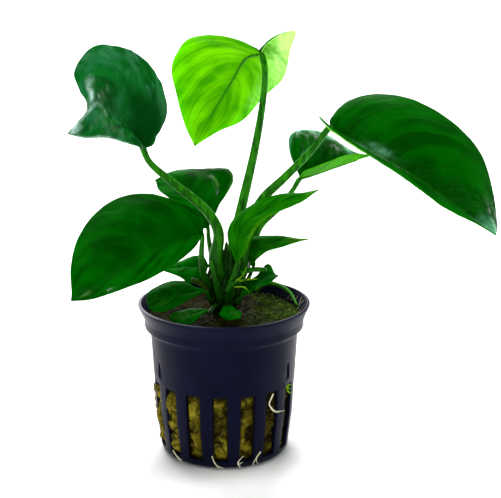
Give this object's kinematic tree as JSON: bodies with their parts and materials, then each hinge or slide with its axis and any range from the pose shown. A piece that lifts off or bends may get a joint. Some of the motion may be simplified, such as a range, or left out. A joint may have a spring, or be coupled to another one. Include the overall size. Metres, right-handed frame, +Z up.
{
  "type": "anubias in slotted aquarium pot",
  "caption": "Young anubias with broad glossy leaves on long stalks, rooted in a rock wool plug inside a slotted black plastic aquarium pot; stands on its base.",
  "frame": {"origin": "centre of the pot's flat underside, on the surface it stands on", "axes": "+Z up along the pot's axis, +X to the right and -Y towards the viewer of the plant's front"},
  "size_m": [0.1284, 0.0922, 0.1384],
  "materials": {
    "pot_plastic": "dark blue-black injection moulded polypropylene, semi-gloss",
    "rock_wool": "wet olive-yellow mineral wool with brown algae on top",
    "rhizome": "green-brown rhizome, slightly rough",
    "leaf": "dark green glossy leathery blade, paler below",
    "leaf_back_lit": "yellow-green blade underside seen against the light, dark veins",
    "young_leaf": "fresh green soft young blade",
    "stalk": "smooth green petiole with lit yellow-green edges",
    "old_stalk": "brownish-green cut petiole",
    "root": "pale cream water roots"
  },
  "bodies": {
    "root": {"leaf_front": "leaf", "leaf_front_left": "leaf", "leaf_high_back": "leaf_back_lit", "leaf_high_left": "leaf", "leaf_left_back": "leaf", "leaf_left_large": "leaf", "leaf_left_small": "leaf", "leaf_right_back": "leaf", "leaf_right_large": "leaf", "leaf_right_small": "young_leaf", "leaf_right_torn": "leaf", "leaf_rim_left": "leaf", "leaf_spear": "young_leaf", "pot": "pot_plastic", "rhizome": "rhizome", "rock_wool": "rock_wool", "root_base_front": "root", "root_base_left": "root", "root_base_middle": "root", "root_base_right": "root", "root_slot": "root", "sheath_crown": "stalk", "sheath_front": "stalk", "side_shoot": "stalk", "stalk_front": "stalk", "stalk_front_left": "stalk", "stalk_high_back": "stalk", "stalk_high_left": "stalk", "stalk_left_back": "stalk", "stalk_left_large": "stalk", "stalk_left_small": "stalk", "stalk_right_back": "stalk", "stalk_right_large": "stalk", "stalk_right_small": "stalk", "stalk_right_torn": "stalk", "stalk_rim_left": "stalk", "stalk_spear": "stalk", "stub_left": "old_stalk", "stub_right": "stalk"}
  },
  "joints": []
}
